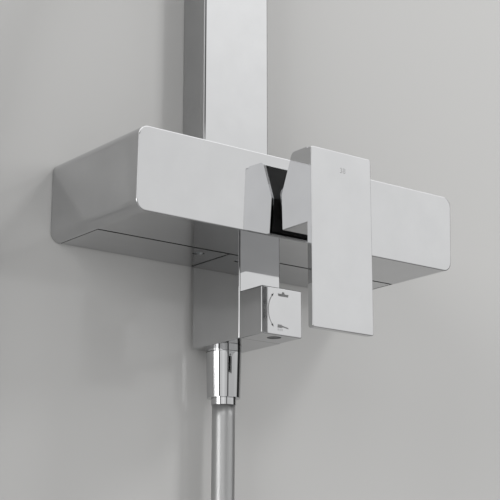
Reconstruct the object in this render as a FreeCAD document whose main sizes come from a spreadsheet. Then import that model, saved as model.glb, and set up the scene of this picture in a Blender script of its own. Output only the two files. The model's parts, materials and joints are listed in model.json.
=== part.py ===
"""Wall-mounted shower set: lever mixer, diverter, hose, column, overhead head and hand shower.

Millimetres. The wall is the plane Y = 0 and the set stands out of it towards -Y. +Z is up, and +X is to
the right of someone who faces the wall. The origin is on the wall, behind the middle of the mixer.
"""
import FreeCAD
import Part
import Sketcher
import math
import os
from types import SimpleNamespace

SIZES = [
    # Casing of the mixer
    ("casing_width", 280.0),
    ("casing_depth", 108.0),
    ("casing_height", 56.6),
    ("casing_corner", 7.0),
    ("casing_wall", 3.0),
    ("casing_front_wall", 4.0),
    ("casing_lean", 1.8),
    ("casing_edge", 0.8),
    ("seam_gap", 0.8),
    ("panel_depth", 50.3),
    ("panel_front_gap", 2.0),
    ("panel_screw_left", 41.3),
    ("panel_screw_right", 72.0),
    ("panel_screw_back", 36.9),
    ("panel_screw_radius", 1.5),
    ("panel_screw_bite", 6.0),
    ("panel_screw_head_radius", 3.4),
    ("panel_screw_head_height", 1.4),
    ("panel_screw_well_radius", 4.2),
    ("panel_screw_sink", 0.5),
    ("panel_screw_socket_radius", 1.6),
    ("panel_screw_socket_depth", 0.9),
    # Valve body and its wall unions
    ("valve_width", 190.0),
    ("valve_depth", 50.0),
    ("valve_height", 36.0),
    ("valve_back", 18.0),
    ("inlet_spacing", 150.0),
    ("inlet_bore_radius", 7.0),
    ("inlet_port_radius", 3.5),
    ("inlet_port_side", 8.0),
    ("spigot_radius", 13.2),
    ("spigot_length", 6.0),
    ("union_thread_radius", 10.4775),
    ("union_thread_length", 25.0),
    ("union_neck_radius", 9.8),
    ("union_flange_radius", 12.5),
    ("union_flange_thickness", 2.5),
    ("union_gasket_thickness", 2.0),
    ("union_nut_flats", 30.0),
    ("union_nut_lip", 3.5),
    ("union_nut_gap", 0.5),
    ("check_valve_length", 12.0),
    ("check_valve_bore_radius", 3.0),
    # Cartridge
    ("cartridge_radius", 17.5),
    ("cartridge_length", 34.0),
    ("cartridge_floor", 3.0),
    ("cartridge_proud", 2.0),
    ("cartridge_boss_radius", 23.0),
    ("cartridge_nut_height", 4.0),
    ("cartridge_nut_radius", 22.0),
    ("cartridge_nut_bore_radius", 14.0),
    ("seal_radius", 5.0),
    ("seal_bore_radius", 3.5),
    ("seal_thickness", 1.5),
    ("seal_ring_radius", 8.0),
    ("disc_thickness", 3.0),
    ("disc_inset", 1.5),
    ("turret_bore_radius", 13.0),
    ("turret_proud", 2.0),
    ("turret_slot_height", 17.0),
    ("running_clearance", 0.05),
    ("moving_clearance", 0.3),
    ("neck_hole_radius", 19.5),
    ("neck_flange_radius", 21.5),
    ("neck_flange_height", 2.0),
    ("neck_bore_radius", 16.5),
    # Lever
    ("pivot_back", 13.0),
    ("pivot_pin_radius", 1.5),
    ("pivot_pin_length", 22.0),
    ("stem_width", 8.0),
    ("stem_tail", 5.0),
    ("stem_tail_room", 2.0),
    ("stem_grip", 16.0),
    ("lever_width", 53.2),
    ("lever_reach", 36.0),
    ("lever_top", 27.2),
    ("blade_height", 123.4),
    ("blade_thickness", 4.5),
    ("blade_corner", 1.6),
    ("blade_edge", 0.6),
    ("block_bottom", 25.2),
    ("block_gap_low", 5.4),
    ("block_gap_knee", 4.6),
    ("block_gap_top", 15.9),
    ("block_round", 4.0),
    ("block_wall", 5.0),
    ("block_hollow", 8.0),
    ("insert_wall", 2.0),
    ("insert_depth", 13.4),
    ("insert_recess", 0.3),
    ("grub_radius", 2.5),
    ("grub_length", 12.0),
    ("grub_back", 8.0),
    # Diverter
    ("diverter_offset", 4.3),
    ("diverter_width", 37.0),
    ("diverter_depth", 56.0),
    ("diverter_height", 62.1),
    ("diverter_back", 4.1),
    ("diverter_edge", 1.2),
    ("diverter_neck_back", 32.0),
    ("diverter_neck_radius", 11.0),
    ("diverter_neck_thread_radius", 9.0),
    ("diverter_neck_bore_radius", 6.0),
    ("diverter_neck_depth", 8.0),
    ("outlet_boss_radius", 14.0),
    ("outlet_boss_length", 6.0),
    ("outlet_level", 9.0),
    ("diverter_bore_radius", 10.0),
    ("diverter_bore_depth", 28.0),
    ("spindle_bore_radius", 5.0),
    ("spindle_depth", 24.0),
    ("spindle_end_room", 1.0),
    ("knob_width", 35.6),
    ("knob_height", 33.5),
    ("knob_depth", 24.2),
    ("knob_corner", 1.2),
    ("knob_edge", 0.8),
    ("knob_bore_depth", 19.0),
    ("knob_plug_radius", 5.0),
    ("knob_plug_depth", 5.0),
    ("knob_plug_recess", 0.4),
    ("knob_plug_front", 8.7),
    # Hose connection, used at both ends of the hose
    ("outlet_offset", 4.9),
    ("outlet_back", 18.6),
    ("nipple_collar_radius", 12.9),
    ("nipple_collar_height", 2.4),
    ("nipple_radius", 10.4),
    ("nipple_length", 10.5),
    ("nipple_root_radius", 9.0),
    ("nipple_root_length", 10.0),
    ("nipple_bore_radius", 6.0),
    ("hose_nut_gap", 0.5),
    ("hose_nut_top_radius", 12.9),
    ("hose_nut_bottom_radius", 11.95),
    ("hose_nut_height", 32.6),
    ("hose_nut_thread_depth", 14.0),
    ("washer_thickness", 2.0),
    ("washer_radius", 9.8),
    ("ferrule_radius", 8.1),
    ("ferrule_ring_radius", 9.06),
    ("ferrule_ring_height", 5.1),
    ("ferrule_bore_radius", 5.0),
    ("hose_radius", 8.3),
    # Column and riser
    ("column_width", 60.0),
    ("column_depth", 27.0),
    ("column_height", 950.0),
    ("column_wall", 2.0),
    ("column_edge", 1.5),
    ("riser_boss_width", 32.0),
    ("riser_boss_gap", 3.0),
    ("riser_thread_radius", 8.0),
    ("riser_bore_radius", 6.0),
    ("riser_root_length", 8.0),
    ("riser_hex_level", 32.0),
    ("riser_hex_height", 10.0),
    ("riser_hex_flats", 19.5),
    ("riser_top_length", 10.0),
    ("riser_pipe_radius", 9.0),
    ("riser_hole_radius", 9.0),
    ("bracket_low_rise", 231.7),
    ("bracket_high_drop", 118.3),
    ("bracket_height", 40.0),
    ("bracket_plate", 4.0),
    ("bracket_ear", 3.0),
    ("bracket_ear_depth", 14.0),
    ("bracket_hole_radius", 2.75),
    ("bracket_hole_spacing", 34.0),
    ("set_screw_radius", 2.0),
    ("set_screw_back", 12.0),
    # Overhead arm and rain head
    ("head_height", 34.0),
    ("arm_width", 44.0),
    ("arm_height", 22.0),
    ("arm_length", 400.0),
    ("arm_wall", 2.0),
    ("arm_edge", 1.5),
    ("clevis_setback", 28.0),
    ("clevis_plate", 6.0),
    ("clevis_width", 30.0),
    ("clevis_ear", 5.0),
    ("clevis_drop", 13.0),
    ("clevis_ear_radius", 9.0),
    ("hinge_pin_radius", 3.0),
    ("rain_neck_drop", 24.0),
    ("rain_flange_radius", 22.0),
    ("rain_flange_height", 4.0),
    ("rain_width", 250.0),
    ("rain_height", 9.0),
    ("rain_wall", 3.0),
    ("rain_top", 2.0),
    ("rain_corner", 6.0),
    ("rain_edge", 0.8),
    ("rain_face_thickness", 2.0),
    ("rain_mat_thickness", 1.5),
    ("rain_mat_margin", 2.0),
    ("nozzle_radius", 1.9),
    ("nozzle_proud", 1.8),
    ("nozzle_pitch", 22.0),
    # Holder and hand shower
    ("hand_side", 55.0),
    ("hand_back", 30.0),
    ("hand_seat", 514.0),
    ("holder_wall", 4.0),
    ("holder_wall_gap", 2.0),
    ("cradle_below", 28.0),
    ("cradle_above", 4.0),
    ("cradle_side", 20.0),
    ("cradle_half_depth", 18.0),
    ("cradle_slot", 18.6),
    ("cradle_corner", 5.0),
    ("holder_screw_radius", 2.0),
    ("holder_screw_head_radius", 4.0),
    ("holder_screw_head_height", 3.0),
    ("hand_collar_radius", 12.9),
    ("hand_collar_height", 10.0),
    ("hand_width", 28.0),
    ("hand_depth", 27.0),
    ("hand_length", 205.0),
    ("hand_corner", 5.0),
    ("hand_edge", 2.0),
    ("hand_bore_radius", 5.0),
    ("hand_face_width", 20.0),
    ("hand_face_length", 104.0),
    ("hand_face_margin", 6.0),
    ("hand_face_thickness", 2.0),
    ("hand_pocket_depth", 7.0),
    ("hand_mat_thickness", 1.5),
    ("hand_nozzle_pitch", 7.4),
    # One overrun serves all cuts
    ("overrun", 1.0),
]

# Nozzles in each direction, and the route's rounding at each of its points
RAIN_NOZZLE_COUNT = 10
HAND_NOZZLE_ACROSS_COUNT = 2
HAND_NOZZLE_ALONG_COUNT = 13
SEAL_COUNT = 3
HEX_SIDE_COUNT = 6
EDGE_SAMPLE_COUNT = 5
ROUTE_ROUND_SHARE = 0.45
TOUCH = 1e-4

# Numbers of a sketch's own two axes, and of the two ends of a line
ACROSS_AXIS_INDEX = -1
UP_AXIS_INDEX = -2
LINE_START_INDEX = 1
LINE_END_INDEX = 2

# The free hose between its two connections, hanging in a loop to the left of the mixer
HOSE_ROUTE = [
    (-8.0, -18.6, -285.0),
    (-12.0, -18.7, -362.0),
    (-19.0, -18.9, -434.0),
    (-54.0, -19.2, -489.5),
    (-115.0, -19.5, -510.5),
    (-180.0, -19.8, -489.5),
    (-220.0, -20.1, -434.0),
    (-226.0, -20.5, -350.0),
    (-230.0, -21.3, -255.0),
    (-232.0, -22.5, -150.0),
    (-232.0, -24.0, -45.0),
    (-229.0, -25.5, 60.0),
    (-213.0, -27.0, 150.0),
    (-172.0, -28.3, 221.0),
    (-117.0, -29.2, 271.0),
    (-74.0, -29.8, 317.0),
]
HOSE_FIRST_RUN = 75.0
HOSE_LAST_RUN = 110.0

TURNS = {
    "z": FreeCAD.Rotation(FreeCAD.Vector(1, 0, 0), 0),
    "-z": FreeCAD.Rotation(FreeCAD.Vector(1, 0, 0), 180),
    "y": FreeCAD.Rotation(FreeCAD.Vector(1, 0, 0), -90),
    "-y": FreeCAD.Rotation(FreeCAD.Vector(1, 0, 0), 90),
    "x": FreeCAD.Rotation(FreeCAD.Vector(0, 1, 0), 90),
    "-x": FreeCAD.Rotation(FreeCAD.Vector(0, 1, 0), -90),
}
AXES = {
    "x": FreeCAD.Vector(1, 0, 0),
    "y": FreeCAD.Vector(0, 1, 0),
    "z": FreeCAD.Vector(0, 0, 1),
}


class Size:
    """A length with its value and the sheet's formula for it."""

    def __init__(self, text, value):
        self.text = text
        self.value = value

    def __add__(self, other):
        other = as_size(other)
        return Size(f"({self.text} + {other.text})", self.value + other.value)

    def __sub__(self, other):
        other = as_size(other)
        return Size(f"({self.text} - {other.text})", self.value - other.value)

    def __mul__(self, other):
        other = as_size(other)
        return Size(f"({self.text} * {other.text})", self.value * other.value)

    def __truediv__(self, other):
        other = as_size(other)
        return Size(f"({self.text} / {other.text})", self.value / other.value)

    def __neg__(self):
        return Size(f"(-{self.text})", -self.value)


def as_size(number):
    """A plain number, or a Size, as a Size."""
    return number if isinstance(number, Size) else Size(repr(number), float(number))


doc = FreeCAD.newDocument("shower_set")
sheet = doc.addObject("Spreadsheet::Sheet", "Sizes")
for row, (alias, value) in enumerate(SIZES, start=1):
    sheet.set(f"A{row}", alias)
    sheet.set(f"B{row}", str(value))
    sheet.setAlias(f"B{row}", alias)
doc.recompute()
d = SimpleNamespace(**{alias: Size("Sizes." + alias, value) for alias, value in SIZES})

pieces = []


def bind(feature, name, size):
    """Tie one property of a feature to the sheet."""
    feature.setExpression(name, as_size(size).text)


def place(feature, at, axis):
    """Put a feature's own origin at a point, with its own Z along an axis."""
    sizes = [as_size(part) for part in at]
    base = FreeCAD.Vector(*(size.value for size in sizes))
    feature.Placement = FreeCAD.Placement(base, TURNS[axis])
    for letter, size in zip("xyz", sizes):
        if size.value != 0:
            bind(feature, "Placement.Base." + letter, size)


def along(axis):
    """Pick the straight edges that run along an axis."""
    def chosen(edge):
        return isinstance(edge.Curve, Part.Line) and edge.Curve.Direction.cross(AXES[axis]).Length < TOUCH
    return chosen


def in_plane(axis, level):
    """Pick the edges that lie wholly in one plane across an axis."""
    def chosen(edge):
        box = edge.BoundBox
        low = getattr(box, axis.upper() + "Min")
        high = getattr(box, axis.upper() + "Max")
        return max(abs(low - level.value), abs(high - level.value)) < TOUCH
    return chosen


def in_slope(start, end):
    """Pick the edges that lie in the plane along X through two (y, z) points."""
    foot_y, foot_z = (size.value for size in start)
    run = end[0].value - foot_y
    rise = end[1].value - foot_z
    length = math.hypot(run, rise)

    def off(point):
        return abs((point.y - foot_y) * rise - (point.z - foot_z) * run) / length

    def chosen(edge):
        return max(off(point) for point in edge.discretize(EDGE_SAMPLE_COUNT)) < TOUCH
    return chosen


def both(first, second):
    """Pick the edges that two rules pick alike."""
    def chosen(edge):
        return first(edge) and second(edge)
    return chosen


def row_length(pitch, count):
    """From the first to the last of a row of things at one pitch."""
    return pitch * (count - 1)


class Piece:
    """One sub-part: a body of features whose sizes are bound to the sheet."""

    def __init__(self, label, at=(0, 0, 0), axis="z"):
        self.label = label
        self.body = doc.addObject("PartDesign::Body", label)
        place(self.body, at, axis)
        pieces.append(self)

    def feature(self, kind):
        return self.body.newObject("PartDesign::" + kind, self.label + "_" + kind)

    def solid(self, kind, cut, sizes, at, axis):
        feature = self.feature(("Subtractive" if cut else "Additive") + kind)
        for name, size in sizes.items():
            bind(feature, name, size)
        place(feature, at, axis)
        return feature

    def box(self, size, at, cut=False):
        self.solid("Box", cut, dict(zip(("Length", "Width", "Height"), size)), at, "z")

    def cylinder(self, radius, length, at, axis="z", cut=False):
        self.solid("Cylinder", cut, {"Radius": radius, "Height": length}, at, axis)

    def cone(self, radius, end_radius, length, at, axis="z", cut=False):
        self.solid("Cone", cut, {"Radius1": radius, "Radius2": end_radius, "Height": length}, at, axis)

    def hexagon(self, flats, length, at, axis="z"):
        corner_share = 0.5 / math.cos(math.pi / HEX_SIDE_COUNT)
        prism = self.solid("Prism", False, {"Circumradius": flats * corner_share, "Height": length}, at, axis)
        prism.Polygon = HEX_SIDE_COUNT

    def outline(self, role, points):
        """A closed sketch of straight lines on one of the body's own planes."""
        sketch = self.body.newObject("Sketcher::SketchObject", self.label + "_outline")
        plane = next(part for part in self.body.Origin.OriginFeatures if part.Role == role)
        sketch.AttachmentSupport = (plane, "")
        sketch.MapMode = "FlatFace"
        points = [(as_size(x), as_size(y)) for x, y in points]
        corners = [FreeCAD.Vector(x.value, y.value, 0) for x, y in points]
        count = len(corners)
        for i in range(count):
            sketch.addGeometry(Part.LineSegment(corners[i], corners[(i + 1) % count]))
        for i in range(count):
            joined = ("Coincident", i, LINE_END_INDEX, (i + 1) % count, LINE_START_INDEX)
            sketch.addConstraint(Sketcher.Constraint(*joined))
        for i, (x, y) in enumerate(points):
            self.hold(sketch, "DistanceX", i, x, UP_AXIS_INDEX)
            self.hold(sketch, "DistanceY", i, y, ACROSS_AXIS_INDEX)
        return sketch

    def hold(self, sketch, kind, line, size, axis):
        """Fix one coordinate of a line's first point, measured from the sketch's origin."""
        if size.value == 0:
            sketch.addConstraint(Sketcher.Constraint("PointOnObject", line, LINE_START_INDEX, axis))
            return
        origin = (ACROSS_AXIS_INDEX, LINE_START_INDEX)
        point = (line, LINE_START_INDEX)
        ends = origin + point if size.value > 0 else point + origin
        held = size if size.value > 0 else -size
        index = sketch.addConstraint(Sketcher.Constraint(kind, *ends, held.value))
        bind(sketch, f"Constraints[{index}]", held)

    def revolve(self, points):
        """Turn an outline of (radius, height) points about the body's own Z."""
        turned = self.feature("Revolution")
        turned.Profile = self.outline("XZ_Plane", points)
        turned.ReferenceAxis = (turned.Profile[0], ["V_Axis"])
        turned.Angle = 360

    def extrude(self, role, points, length, cut=False):
        """Push an outline out evenly to both sides of its plane."""
        pushed = self.feature("Pocket" if cut else "Pad")
        pushed.Profile = self.outline(role, points)
        pushed.SideType = "Symmetric"
        bind(pushed, "Length", length)

    def grid(self, first_role, second_role, pitch, first_count, second_count):
        """Repeat the latest feature in two directions, at one pitch."""
        original = self.body.Tip
        pattern = self.feature("LinearPattern")
        pattern.Originals = [original]
        directions = {part.Role: part for part in self.body.Origin.OriginFeatures}
        pattern.Direction = (directions[first_role], [""])
        pattern.Direction2 = (directions[second_role], [""])
        pattern.Occurrences = first_count
        pattern.Occurrences2 = second_count
        bind(pattern, "Length", row_length(pitch, first_count))
        bind(pattern, "Length2", row_length(pitch, second_count))
        self.body.Tip = pattern

    def round(self, radius, chosen):
        doc.recompute()
        base = self.body.Tip
        names = [f"Edge{i}" for i, edge in enumerate(base.Shape.Edges, start=1) if chosen(edge)]
        fillet = self.feature("Fillet")
        fillet.Base = (base, names)
        bind(fillet, "Radius", radius)


# Places that several pieces share
front = -d.casing_depth
top = d.casing_height / 2
bottom = -top
front_low = front + d.casing_lean
valve_rear = -d.valve_back
valve_front = valve_rear - d.valve_depth
valve_middle = valve_rear - d.valve_depth / 2
inlet_side = d.inlet_spacing / 2
panel_screw_places = (-d.panel_screw_left, d.panel_screw_right)
spigot_end = valve_rear + d.spigot_length
flange_front = spigot_end + d.union_gasket_thickness
flange_rear = flange_front + d.union_flange_thickness
nut_inside = front + d.casing_front_wall
housing_front = nut_inside + d.cartridge_nut_height
boss_front = housing_front + d.cartridge_proud
housing_rear = housing_front + d.cartridge_length
seat_floor = housing_rear + d.seal_thickness
cavity_floor = housing_rear - d.cartridge_floor
fixed_disc_front = cavity_floor - d.disc_thickness
moving_disc_rear = fixed_disc_front - d.moving_clearance
moving_disc_front = moving_disc_rear - d.disc_thickness
turret_front = housing_front - d.turret_proud
pivot = front + d.pivot_back
stem_end = pivot + d.stem_tail
blade_front = front - d.lever_reach
blade_rear = blade_front + d.blade_thickness
blade_bottom = d.lever_top - d.blade_height
knee = front - d.block_gap_knee
stem_front = knee - d.stem_grip
diverter_x = -d.diverter_offset
diverter_front = -(d.diverter_back + d.diverter_depth)
diverter_bottom = bottom - d.diverter_height
knob_rear = diverter_front - d.moving_clearance
knob_front = knob_rear - d.knob_depth
knob_level = diverter_bottom + d.knob_height / 2
outlet_x = -d.outlet_offset
outlet_seat = diverter_bottom - d.nipple_collar_height - d.hose_nut_gap
grub_level = knob_front + d.knob_plug_front
spindle_radius = d.spindle_bore_radius - d.running_clearance
riser_y = -d.column_depth / 2
column_top = top + d.column_height
arm_front = -d.column_depth - d.arm_length
arm_bottom = column_top + (d.head_height - d.arm_height) / 2
clevis_y = arm_front + d.clevis_setback
clevis_top = arm_bottom - d.clevis_plate
hinge_level = clevis_top - d.clevis_drop
rain_flange_bottom = hinge_level - d.rain_neck_drop
rain_bottom = rain_flange_bottom - d.rain_height
tongue_width = d.clevis_width - (d.clevis_ear + d.moving_clearance) * 2
hand_x = -d.hand_side
hand_y = -d.hand_back
hand_bottom = d.hand_seat + d.hose_nut_gap
hand_box_bottom = hand_bottom + d.hand_collar_height
hand_top = hand_box_bottom + d.hand_length
hand_front = hand_y - d.hand_depth / 2
hand_face_top = hand_top - d.hand_face_margin
cradle_bottom = d.hand_seat - d.cradle_below
cradle_height = d.cradle_below - d.cradle_above


def make_casing():
    casing = Piece("casing")
    profile = [(as_size(0), bottom), (as_size(0), top), (front, top), (front_low, bottom)]
    casing.extrude("YZ_Plane", profile, d.casing_width)
    casing.round(d.casing_corner, along("y"))
    casing.round(d.casing_edge, in_slope((front, top), (front_low, bottom)))
    inner_width = d.casing_width - d.casing_wall * 2
    inner_depth = d.casing_depth - d.casing_front_wall + d.overrun
    inner_height = d.casing_height - d.casing_wall * 2
    inner_at = (-inner_width / 2, nut_inside, bottom + d.casing_wall)
    casing.box((inner_width, inner_depth, inner_height), inner_at, cut=True)
    opening_width = d.casing_width - d.casing_corner * 2
    casing.box(
        (opening_width, d.panel_depth + d.overrun, d.casing_wall + d.overrun * 2),
        (-opening_width / 2, -d.panel_depth, bottom - d.overrun),
        cut=True,
    )
    through_front = d.casing_front_wall + d.overrun * 2
    casing.cylinder(d.neck_hole_radius, through_front, (0, front - d.overrun, 0), "y", cut=True)
    spot_radius = d.neck_flange_radius + d.running_clearance
    casing.cylinder(spot_radius, d.overrun + d.casing_lean, (0, front - d.overrun, 0), "y", cut=True)
    through_top = d.casing_wall + d.overrun * 2
    riser_hole = (0, riser_y, top - d.casing_wall - d.overrun)
    casing.cylinder(d.riser_hole_radius, through_top, riser_hole, cut=True)


def make_service_panel():
    panel = Piece("service_panel")
    width = d.casing_width - (d.casing_corner + d.seam_gap) * 2
    depth = d.panel_depth - d.seam_gap - d.panel_front_gap
    panel.box((width, depth, d.casing_wall), (-width / 2, -d.panel_depth + d.panel_front_gap, bottom))
    through = d.casing_wall + d.overrun * 2
    notch_width = d.diverter_width + d.seam_gap * 2
    notch_depth = d.panel_depth - d.diverter_back + d.seam_gap
    notch_at = (diverter_x - notch_width / 2, -d.panel_depth, bottom - d.overrun)
    panel.box((notch_width, notch_depth, through), notch_at, cut=True)
    screws = Piece("panel_screws")
    head_level = bottom + d.panel_screw_sink
    reach = d.panel_screw_bite - d.valve_height / 2 - head_level
    well_depth = d.panel_screw_sink + d.panel_screw_head_height + d.overrun
    for x in panel_screw_places:
        well_at = (x, -d.panel_screw_back, bottom - d.overrun)
        panel.cylinder(d.panel_screw_radius, through, well_at, cut=True)
        panel.cylinder(d.panel_screw_well_radius, well_depth, well_at, cut=True)
        screw_at = (x, -d.panel_screw_back, head_level)
        screws.cylinder(d.panel_screw_head_radius, d.panel_screw_head_height, screw_at)
        screws.cylinder(d.panel_screw_radius, reach, screw_at)
        screws.cylinder(d.panel_screw_socket_radius, d.panel_screw_socket_depth, screw_at, cut=True)


def make_valve_body():
    valve = Piece("valve_body")
    floor = -d.valve_height / 2
    valve.box((d.valve_width, d.valve_depth, d.valve_height), (-d.valve_width / 2, valve_front, floor))
    valve.cylinder(d.cartridge_boss_radius, valve_front - boss_front, (0, boss_front, 0), "y")
    outlet = (diverter_x, -d.diverter_neck_back, floor - d.outlet_boss_length)
    valve.cylinder(d.outlet_boss_radius, d.outlet_boss_length + d.valve_height / 2, outlet)
    riser_boss = (d.riser_boss_width, d.valve_back - d.riser_boss_gap, d.valve_height / 2)
    valve.box(riser_boss, (-d.riser_boss_width / 2, valve_rear, 0))
    valve.cylinder(d.cartridge_radius, seat_floor - boss_front, (0, boss_front, 0), "y", cut=True)
    inlet_length = spigot_end - valve_middle
    cross_length = inlet_side - d.inlet_port_side
    port_length = valve_middle - seat_floor
    for side, inward in ((-1, "x"), (1, "-x")):
        x = inlet_side * side
        valve.cylinder(d.spigot_radius, d.spigot_length, (x, valve_rear, 0), "y")
        valve.cylinder(d.inlet_bore_radius, inlet_length, (x, valve_middle, 0), "y", cut=True)
        valve.cylinder(d.inlet_port_radius, cross_length, (x, valve_middle, 0), inward, cut=True)
        port = (d.inlet_port_side * side, seat_floor, 0)
        valve.cylinder(d.inlet_port_radius, port_length, port, "y", cut=True)
    for x in panel_screw_places:
        screw_hole = (x, -d.panel_screw_back, floor)
        valve.cylinder(d.panel_screw_radius, d.panel_screw_bite, screw_hole, cut=True)
    outlet_port = (diverter_x, seat_floor, -d.outlet_level)
    outlet_run = -d.diverter_neck_back - seat_floor
    valve.cylinder(d.inlet_port_radius, outlet_run, outlet_port, "y", cut=True)
    valve.cylinder(d.diverter_neck_thread_radius, d.outlet_boss_length, outlet, cut=True)
    outlet_rise = d.outlet_boss_length + d.valve_height / 2 - d.outlet_level
    valve.cylinder(d.diverter_neck_bore_radius, outlet_rise, outlet, cut=True)
    riser_socket = (0, riser_y, d.valve_height / 2 - d.riser_root_length)
    valve.cylinder(d.riser_thread_radius, d.riser_root_length + d.overrun, riser_socket, cut=True)


def make_unions():
    nuts = Piece("union_nuts")
    gaskets = Piece("union_gaskets")
    checks = Piece("check_valves")
    nut_front = valve_rear + d.union_nut_gap
    nut_length = flange_rear + d.union_nut_lip - nut_front
    nut_thread = flange_rear - nut_front
    for name, side in (("union_left", -1), ("union_right", 1)):
        x = inlet_side * side
        union = Piece(name, (x, flange_front, 0), "y")
        union.cylinder(d.union_flange_radius, d.union_flange_thickness, (0, 0, 0))
        union.cylinder(d.union_neck_radius, -flange_front, (0, 0, 0))
        union.cylinder(d.union_thread_radius, d.union_thread_length, (0, 0, -flange_front))
        bore_length = d.union_thread_length - flange_front
        union.cylinder(d.inlet_bore_radius, bore_length, (0, 0, 0), cut=True)
        nuts.hexagon(d.union_nut_flats, nut_length, (x, nut_front, 0), "y")
        nuts.cylinder(d.spigot_radius, nut_thread, (x, nut_front, 0), "y", cut=True)
        nuts.cylinder(d.union_neck_radius, nut_length, (x, nut_front, 0), "y", cut=True)
        gaskets.cylinder(d.union_flange_radius, d.union_gasket_thickness, (x, spigot_end, 0), "y")
        gaskets.cylinder(d.inlet_bore_radius, d.union_gasket_thickness, (x, spigot_end, 0), "y", cut=True)
        check_at = (x, valve_rear - d.check_valve_length / 2, 0)
        checks.cylinder(d.inlet_bore_radius, d.check_valve_length, check_at, "y")
        checks.cylinder(d.check_valve_bore_radius, d.check_valve_length, check_at, "y", cut=True)


def make_cartridge():
    housing = Piece("cartridge_housing", (0, housing_front, 0), "y")
    housing.cylinder(d.cartridge_radius, d.cartridge_length, (0, 0, 0))
    housing.cylinder(d.turret_bore_radius, d.cartridge_length - d.cartridge_floor, (0, 0, 0), cut=True)
    seals = Piece("cartridge_seals", (0, housing_rear, 0), "y")
    for i in range(SEAL_COUNT):
        angle = 2 * math.pi * i / SEAL_COUNT
        x = d.seal_ring_radius * math.sin(angle)
        y = d.seal_ring_radius * math.cos(angle)
        seals.cylinder(d.seal_radius, d.seal_thickness, (x, y, 0))
        seals.cylinder(d.seal_bore_radius, d.seal_thickness, (x, y, 0), cut=True)
        housing.cylinder(d.seal_bore_radius, d.cartridge_length, (x, y, 0), cut=True)
    disc = Piece("fixed_disc", (0, fixed_disc_front, 0), "y")
    disc.cylinder(d.turret_bore_radius, d.disc_thickness, (0, 0, 0))
    nut = Piece("cartridge_nut", (0, nut_inside, 0), "y")
    nut.cylinder(d.cartridge_nut_radius, d.cartridge_nut_height, (0, 0, 0))
    nut.cylinder(d.cartridge_nut_bore_radius, d.cartridge_nut_height, (0, 0, 0), cut=True)
    sleeve = Piece("neck_sleeve", (0, nut_inside, 0), "-y")
    flange_seat = d.casing_front_wall - d.casing_lean
    flange_end = d.casing_front_wall + d.neck_flange_height
    sleeve.revolve([
        (d.neck_bore_radius, 0),
        (d.neck_hole_radius, 0),
        (d.neck_hole_radius, flange_seat),
        (d.neck_flange_radius, flange_seat),
        (d.neck_flange_radius, flange_end),
        (d.neck_bore_radius, flange_end),
    ])
    turret = Piece("cartridge_turret", (0, turret_front, 0), "y")
    turret_radius = d.turret_bore_radius - d.running_clearance
    turret.cylinder(turret_radius, moving_disc_front - turret_front, (0, 0, 0))
    slot_width = d.stem_width + d.moving_clearance * 2
    slot_depth = stem_end + d.stem_tail_room - turret_front
    slot_at = (-slot_width / 2, -d.turret_slot_height / 2, 0)
    turret.box((slot_width, d.turret_slot_height, slot_depth), slot_at, cut=True)
    pin_at = (-d.pivot_pin_length / 2, 0, pivot - turret_front)
    turret.cylinder(d.pivot_pin_radius, d.pivot_pin_length, pin_at, "x", cut=True)
    moving = Piece("moving_disc", (0, moving_disc_front, 0), "y")
    moving.cylinder(d.turret_bore_radius - d.disc_inset, d.disc_thickness, (0, 0, 0))
    pin = Piece("pivot_pin", (-d.pivot_pin_length / 2, pivot, 0), "x")
    pin.cylinder(d.pivot_pin_radius, d.pivot_pin_length, (0, 0, 0))


def insert_profile(shift):
    """The lever's insert in (y, z) points, with its slanted rear moved along Y."""
    high = d.lever_top - d.insert_wall
    low = d.insert_wall - d.block_bottom
    inside = knee - d.insert_depth
    high_rear = knee - (d.block_gap_top - d.block_gap_knee) * high / d.lever_top
    low_rear = knee + (d.block_gap_low - d.block_gap_knee) * low / d.block_bottom
    rear = [(low_rear + shift, low), (knee + shift, 0), (high_rear + shift, high)]
    return [*rear, (inside, high), (inside, low)]


def make_lever():
    half = d.stem_width / 2
    stem = Piece("lever_stem")
    stem.box((d.stem_width, stem_end - stem_front, d.stem_width), (-half, stem_front, -half))
    pin_hole = d.pivot_pin_radius + d.running_clearance
    stem.cylinder(pin_hole, d.stem_width, (-half, pivot, 0), "x", cut=True)
    block = Piece("lever_block")
    rear_top = front - d.block_gap_top
    block.extrude(
        "YZ_Plane",
        [
            (front - d.block_gap_low, -d.block_bottom),
            (knee, 0),
            (rear_top, d.lever_top),
            (blade_rear, d.lever_top),
            (blade_rear, -d.block_bottom),
        ],
        d.lever_width,
    )
    block.round(d.block_round, both(in_plane("y", rear_top), in_plane("z", d.lever_top)))
    block.round(d.blade_edge, in_plane("z", -d.block_bottom))
    hollow_width = d.lever_width - d.block_wall * 2
    hollow_height = d.lever_top + d.block_bottom - d.block_wall * 2
    hollow_at = (-hollow_width / 2, blade_rear, -d.block_bottom + d.block_wall)
    block.box((hollow_width, d.block_hollow, hollow_height), hollow_at, cut=True)
    insert = Piece("lever_insert")
    insert_width = d.lever_width - d.insert_wall * 2
    block.extrude("YZ_Plane", insert_profile(d.overrun), insert_width, cut=True)
    insert.extrude("YZ_Plane", insert_profile(-d.insert_recess), insert_width)
    bore_length = front - stem_front
    grub_y = knee - d.grub_back
    grub_hole = d.block_bottom - half
    for holder in (block, insert):
        holder.box((d.stem_width, bore_length, d.stem_width), (-half, stem_front, -half), cut=True)
        holder.cylinder(d.grub_radius, grub_hole, (0, grub_y, -d.block_bottom), cut=True)
    grub = Piece("lever_grub_screw", (0, grub_y, -half - d.grub_length))
    grub.cylinder(d.grub_radius, d.grub_length, (0, 0, 0))
    blade = Piece("lever_blade")
    blade_at = (-d.lever_width / 2, blade_front, blade_bottom)
    blade.box((d.lever_width, d.blade_thickness, d.blade_height), blade_at)
    blade.round(d.blade_corner, along("y"))
    blade.round(d.blade_edge, in_plane("y", blade_front))


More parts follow.
